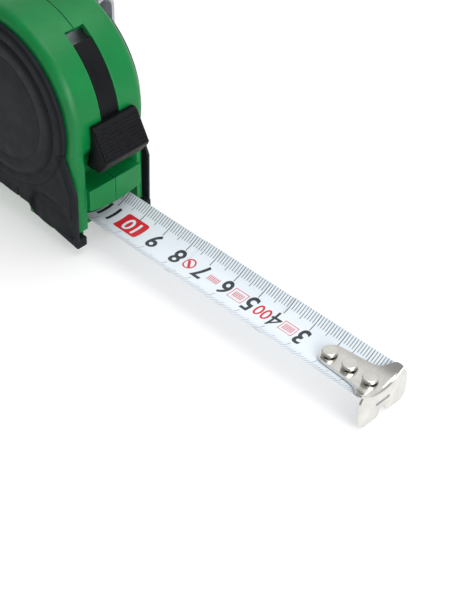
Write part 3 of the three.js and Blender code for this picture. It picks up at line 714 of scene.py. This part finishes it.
class Print:
    """Flat shapes in one ink: drawn in (s, v), then laid on the blade with a small lift."""

    def __init__(self, name, material, lift):
        self.name, self.material, self.lift = name, material, lift
        self.bm = bmesh.new()

    def poly(self, points):
        self.bm.faces.new([self.bm.verts.new((s, v, 0)) for s, v in points])

    def bar(self, s0, s1, v0, v1):
        self.poly([(s0, v0), (s1, v0), (s1, v1), (s0, v1)])

    def band(self, outer, inner):
        n = len(outer)
        for i in range(n):
            k = (i + 1) % n
            self.poly([outer[i], outer[k], inner[k], inner[i]])

    def frame(self, s0, s1, v0, v1, w):
        inner = [(s0 + w, v0 + w), (s1 - w, v0 + w), (s1 - w, v1 - w), (s0 + w, v1 - w)]
        self.band([(s0, v0), (s1, v0), (s1, v1), (s0, v1)], inner)

    def text(self, words, s, foot, height, weight, narrow=0.92):
        """Figures centred on s, standing from foot towards the near edge."""
        curve = bpy.data.curves.new("figures", "FONT")
        curve.body, curve.align_x, curve.offset, curve.resolution_u = words, "CENTER", weight, 4
        holder = linked("figures", curve)
        bpy.context.view_layer.update()
        mesh = bpy.data.meshes.new_from_object(holder.evaluated_get(bpy.context.evaluated_depsgraph_get()))
        co = np.array([v.co[:2] for v in mesh.vertices])
        low, high = co.min(0), co.max(0)
        size = height / (high[1] - low[1])
        middle = (low[0] + high[0]) / 2
        made = []
        for x, y in co:
            at = (s + (x - middle) * size * narrow, foot - (y - low[1]) * size, 0)
            made.append(self.bm.verts.new(at))
        for f in mesh.polygons:
            self.bm.faces.new([made[i] for i in f.vertices])
        bpy.data.objects.remove(holder)
        bpy.data.curves.remove(curve)
        bpy.data.meshes.remove(mesh)

    def lay(self):
        """Cuts the shapes to follow the curve and puts each stretch on its own section."""
        for v in np.arange(-9, 9.1, 1.0):
            self.slice((0, v, 0), (0, 1, 0))
        joints = [span("blade_tip")[1], span("blade_mid")[1]]
        for s in joints:
            self.slice((s, 0, 0), (1, 0, 0))
        for index, (node, body) in enumerate(SECTIONS):
            low = 0 if index == 0 else joints[index - 1]
            high = joints[index] if index < len(joints) else span(node)[1] - 0.2
            r = BLADE_R + index * SHELF - self.lift
            verts, faces, seen = [], [], {}
            for f in self.bm.faces:
                if low <= f.calc_center_median().x < high:
                    for v in f.verts:
                        if v not in seen:
                            seen[v] = len(verts)
                            verts.append(on_blade(v.co.x, v.co.y, r))
                    faces.append([seen[v] for v in f.verts])
            if faces:
                obj = solid(f"{self.name}_{node}", verts, faces)
                up_only(obj.data)
                settle(obj, self.material, body, (), 60)
        self.bm.free()

    def slice(self, point, normal):
        geom = self.bm.verts[:] + self.bm.edges[:] + self.bm.faces[:]
        bmesh.ops.bisect_plane(self.bm, geom=geom, dist=1e-5, plane_co=point, plane_no=normal)


def up_only(mesh):
    """Turns every face of a print towards the blade's hollow side."""
    bm = bmesh.new()
    bm.from_mesh(mesh)
    for f in bm.faces:
        if f.normal.z < 0:
            f.normal_flip()
    bm.to_mesh(mesh)
    bm.free()


def oval(s, v, rs, rv, steps=40):
    turns = [2 * math.pi * i / steps for i in range(steps)]
    return [(s + rs * math.cos(a), v + rv * math.sin(a)) for a in turns]


def rounded(s0, s1, v0, v1, r, steps=6):
    """A rectangle with rounded corners."""
    corners = ((s1 - r, v1 - r, 0), (s0 + r, v1 - r, 90), (s0 + r, v0 + r, 180), (s1 - r, v0 + r, 270))
    out = []
    for cs, cv, start in corners:
        out += arc(cs, cv, r, start, start + 90, steps)
    return out


TICK_START = HALF_V - 0.15  # the ticks stop just short of the blade's edges
SCALE_END = 112  # inside the mouth
FAR_TICKS = {10: (5.7, 0.26), 5: (4.4, 0.2), 1: (3.4, 0.2)}  # every so many: (length, width)
NEAR_TICKS = {10: (5.2, 0.2), 5: (3.8, 0.17), 1: (2.9, 0.17)}
FIGURES = (3, 4, 5, 6, 7, 8, 9, 11)  # 1 and 2 are under the hook, and 10 is in a red field
FIGURE_FOOT, FIGURE_HEIGHT, FIGURE_WEIGHT = 3.4, 6.6, 0.022


def tick(sizes, mm):
    return next(size for every, size in sizes.items() if mm % every == 0)


def scale():
    """The ticks and figures, and generic red marks between them."""
    dark = Print("scale", INK_DARK, 0.016)
    faint = Print("fine_scale", INK_FAINT, 0.016)
    for mm in range(1, SCALE_END + 1):
        length, width = tick(FAR_TICKS, mm)
        dark.bar(mm - width / 2, mm + width / 2, TICK_START - length, TICK_START)
        length, width = tick(NEAR_TICKS, mm)
        faint.bar(mm - width / 2, mm + width / 2, -TICK_START, length - TICK_START)
    for cm in FIGURES:
        weight = 0.0 if cm == 4 else FIGURE_WEIGHT  # a heavier 4 closes up
        dark.text(str(cm), 10 * cm, FIGURE_FOOT, FIGURE_HEIGHT, weight, 0.86)
    red = Print("red_mark", INK_RED, 0.014)
    white = Print("white_figures", ENAMEL, 0.03)
    red.poly(rounded(95.4, 104.8, -3.6, 3.7, 0.9))
    white.text("10", 100.1, 2.7, 5.3, 0.02)
    for s in (43.6, 46.4):  # two rings
        red.band(oval(s, 0.1, 1.3, 2.3), oval(s, 0.1, 0.62, 1.6))
    red.band(oval(75, 0.2, 2.0, 2.3), oval(75, 0.2, 1.5, 1.8))  # a ring with a stroke across
    red.poly([(73.7, -0.9), (74.4, -1.4), (76.4, 1.1), (75.7, 1.6)])
    pink = Print("pink_mark", INK_PINK, 0.014)
    pink.frame(32.4, 37.6, -1.8, 2.2, 0.22)
    pink.frame(52.2, 57.6, -2.0, 2.4, 0.22)
    for start, count in ((33.3, 6), (53.2, 6), (63.0, 7)):
        for s in (start + i * 0.62 for i in range(count)):
            pink.bar(s, s + 0.28, -0.9, 1.4)
    for layer in (dark, faint, red, pink, white):
        layer.lay()


for section in range(len(SECTIONS)):
    blade_section(section)
scale()

# ---- hook and rivets -----------------------------------------------------------------------------------

HOOK_LIFT = 0.3  # the hook's plate above the blade
HOOK_R = BLADE_R - HOOK_LIFT - PLATE  # upper side of the plate
HOOK_LOW = box_mm("hook")[0][2]
HOOK_HALF = (box_mm("hook")[1][1] - box_mm("hook")[0][1]) / 2
HOOK_END = 22.7  # the tongue's end, behind the flange's outer face
BEND = 1.1  # outer radius between the plate and the flange
LOBE = 3.0  # the flange's lower corners
EAR = 3.4  # height over which the flange draws in to the plate's width
TONGUE = [  # (distance behind the flange's outer face, half width)
    (0.8, 8.45), (2.2, 8.45), (2.9, 8.3), (3.5, 7.9), (4.3, 7.1), (5.1, 6.3), (5.8, 5.75), (6.8, 5.2),
    (8.5, 4.75), (10.5, 4.55), (14, 4.25), (19, 3.95), (20.6, 3.6), (21.6, 3.0), (22.3, 2.0),
    (22.68, 1.0), (HOOK_END, 0.6),
]


def plate_half(back):
    return float(np.interp(back, *zip(*TONGUE)))


def hook_rows():
    """The hook's upper and outer face as rows of points, from the tongue's end to the flange's foot."""
    face = ZERO_X + PLATE
    u = np.linspace(-1, 1, 49)
    rows = []
    tip = [HOOK_END, 22.66, 22.55, 22.4, 22.1, 21.7, 21.2, 20.6, 19.8]
    for back in [*tip, *np.linspace(18.5, 6.5, 14), *np.linspace(6.1, BEND, 22)]:
        y = u * plate_half(back)
        rows.append([(face - back, v, CURVE_Z - math.sqrt(HOOK_R**2 - v * v)) for v in y])
    y = u * plate_half(BEND)
    crest = CURVE_Z - np.sqrt(HOOK_R**2 - y**2)
    for a in np.radians(np.linspace(12, 90, 8)):
        x, drop = face - BEND + BEND * math.sin(a), BEND * (1 - math.cos(a))
        rows.append([(x, v, c - drop) for v, c in zip(y, crest)])
    shoulder = crest[0] - BEND
    for t in [*np.linspace(0.08, 0.72, 8), 0.8, 0.86, 0.9, 0.94, 0.97, 0.99, 1.0]:
        z = (crest - BEND) * (1 - t) + HOOK_LOW * t
        rise = np.clip((LOBE - (z[0] - HOOK_LOW)) / LOBE, 0, 1)
        half = HOOK_HALF - LOBE + LOBE * math.sqrt(max(0.0, 1 - rise**2))
        half -= (HOOK_HALF - plate_half(BEND)) * np.clip((z[0] - shoulder + EAR) / EAR, 0, 1) ** 2.5
        rows.append([(face, v, w) for v, w in zip(u * half, z)])
    return np.array(rows)


def hook():
    outer = hook_rows()
    n, m = outer.shape[:2]
    across, along = np.gradient(outer, axis=1), np.gradient(outer, axis=0)
    normal = np.cross(along, across)
    normal /= np.linalg.norm(normal, axis=2)[:, :, None]
    inner = outer + normal * PLATE * (1 if normal[5, m // 2, 2] < 0 else -1)
    verts = [tuple(p) for p in outer.reshape(-1, 3)] + [tuple(p) for p in inner.reshape(-1, 3)]
    k = n * m
    sheet = grid_faces(n, m)
    faces = sheet + [tuple(k + i for i in f[::-1]) for f in sheet]
    right, left = [i * m + m - 1 for i in range(1, n)], [i * m for i in range(n - 2, 0, -1)]
    rim = [*range(m), *right, *[(n - 1) * m + j for j in range(m - 2, -1, -1)], *left]
    faces += [(a, b, k + b, k + a) for a, b in zip(rim, rim[1:] + rim[:1])]
    obj = solid("hook_plate", verts, faces)
    through = ("x", ZERO_X - 2, ZERO_X + 3)
    edge_z = CURVE_Z - BLADE_R * math.cos(HALF_V / BLADE_R)
    slot = prism("slot", rounded(-3, 3, edge_z - 6.5, edge_z - 5.5, 0.45, 4), *through)
    notch = [(-3.2, HOOK_LOW - 1), (-3.1, HOOK_LOW), *arc(-2.6, HOOK_LOW + 0.9, 0.9, 270, 340, 4),
             *arc(0, HOOK_LOW + 1.25, 1.5, 175, 5, 12), *arc(2.6, HOOK_LOW + 0.9, 0.9, 200, 270, 4),
             (3.1, HOOK_LOW), (3.2, HOOK_LOW - 1)]
    cut(obj, [slot, prism("notch", notch, *through)])
    settle(obj, NICKEL, "end_hook", ["hook"], 32)


def rivet(node):
    """A rivet turned about a vertical line: a shank down to the blade's underside and a flat round head."""
    x = centre_mm(node)[0]
    top = box_mm(node)[1][2]
    seat, shank, head, side_top = top - 1.0, 1.1, 2.3, top - 0.42
    foot = CURVE_Z - BLADE_R - SHEET
    profile = [(0, foot), (shank, foot), (shank, seat), (2.22, seat), (head, seat + 0.08), (head, side_top)]
    profile += [(1.9 + 0.4 * math.cos(a), side_top + 0.34 * math.sin(a)) for a in np.linspace(0.2, 1.4, 6)]
    profile += [(1.5, top - 0.05), (0.8, top - 0.01), (0, top)]
    obj = turned(node + "_turned", profile, lambda u, v, z: (x + u, v, z), 48)
    settle(obj, NICKEL, "blade_front", [node], 40)


hook()
for number in (1, 2, 3):
    rivet(f"rivet_{number}")

# ---- camera, light and floor ---------------------------------------------------------------------------

# The camera was fitted to the printed scale and the blade's edges. Places here are metres in the row frame.
AZ, EL, ROLL = (math.radians(a) for a in (44.248, 41.394, 0.886))
CAMERA_AT = (0.281508, -0.268869, 0.328159)
LENS, SENSOR = 100.8, 36
LIGHTS = (  # (name, place, aim, size, power)
    ("key", (0.10, 0.10, 0.60), (0.0, 0.0, 0.02), 0.45, 1.7),
    ("front", (0.52, -0.06, 0.26), (-0.03, 0.0, 0.02), 0.34, 1.5),
    ("low", (0.42, -0.24, 0.10), (-0.03, 0.0, 0.02), 0.30, 0.9),
)
FLOOR_Z = -0.00005
BRIGHT_SIDE = (-0.30, 0.86, 0.42)  # the surroundings are lightest towards here
SURROUNDINGS = ((0.25, (0.40, 0.40, 0.41, 1)), (0.85, (1.0, 1.0, 1.0, 1)))  # (how far towards it, colour)


def camera():
    back = Vector((math.sin(AZ) * math.cos(EL), -math.cos(AZ) * math.cos(EL), math.sin(EL)))
    level = Vector((math.cos(AZ), math.sin(AZ), 0))
    upright = back.cross(level)
    c, s = math.cos(ROLL), math.sin(ROLL)
    data = bpy.data.cameras.new("camera")
    data.lens = LENS
    data.sensor_width = SENSOR
    data.clip_start = 0.01
    obj = linked("camera", data)
    turn = Matrix((c * level + s * upright, c * upright - s * level, back)).transposed().to_4x4()
    turn.translation = Vector(CAMERA_AT)
    obj.matrix_world = turn
    bpy.context.scene.camera = obj


def area(name, where, aim, size, power):
    data = bpy.data.lights.new(name, "AREA")
    data.shape, data.size, data.energy = "DISK", size, power
    obj = linked(name, data)
    obj.location = where
    obj.rotation_mode = "QUATERNION"
    obj.rotation_quaternion = (Vector(aim) - Vector(where)).to_track_quat("-Z", "Y")


def surroundings():
    world = bpy.data.worlds.new("studio")
    world.use_nodes = True
    nodes, links = world.node_tree.nodes, world.node_tree.links
    coord = nodes.new("ShaderNodeTexCoord")
    towards = nodes.new("ShaderNodeVectorMath")
    towards.operation = "DOT_PRODUCT"
    towards.inputs[1].default_value = BRIGHT_SIDE
    ramp = nodes.new("ShaderNodeValToRGB")
    links.new(coord.outputs["Generated"], towards.inputs[0])
    links.new(towards.outputs["Value"], ramp.inputs[0])
    links.new(ramp.outputs[0], nodes["Background"].inputs[0])
    for mark, (position, colour) in zip(ramp.color_ramp.elements, SURROUNDINGS):
        mark.position, mark.color = position, colour
    nodes["Background"].inputs[1].default_value = 0.96
    bpy.context.scene.world = world


def floor():
    """A pale sheet of paper just under the object."""
    mesh = bpy.data.meshes.new("floor")
    bm = bmesh.new()
    bmesh.ops.create_grid(bm, x_segments=8, y_segments=8, size=2.0)
    bm.to_mesh(mesh)
    bm.free()
    t = Tree("floor_paper")
    t.out("Base Color", t.blend(t.noise(60.0), linear(196, 196, 196), linear(200, 200, 200)))
    t.out("Emission Color", (1, 1, 1, 1))
    t.out("Emission Strength", 0.42)
    t.out("Roughness", 0.9)
    t.out("Specular IOR Level", 0.1)
    mesh.materials.append(t.mat)
    obj = linked("floor", mesh)
    obj.location.z = FLOOR_Z


camera()
surroundings()
for light in LIGHTS:
    area(*light)
floor()
bpy.context.scene.view_settings.view_transform = "Standard"
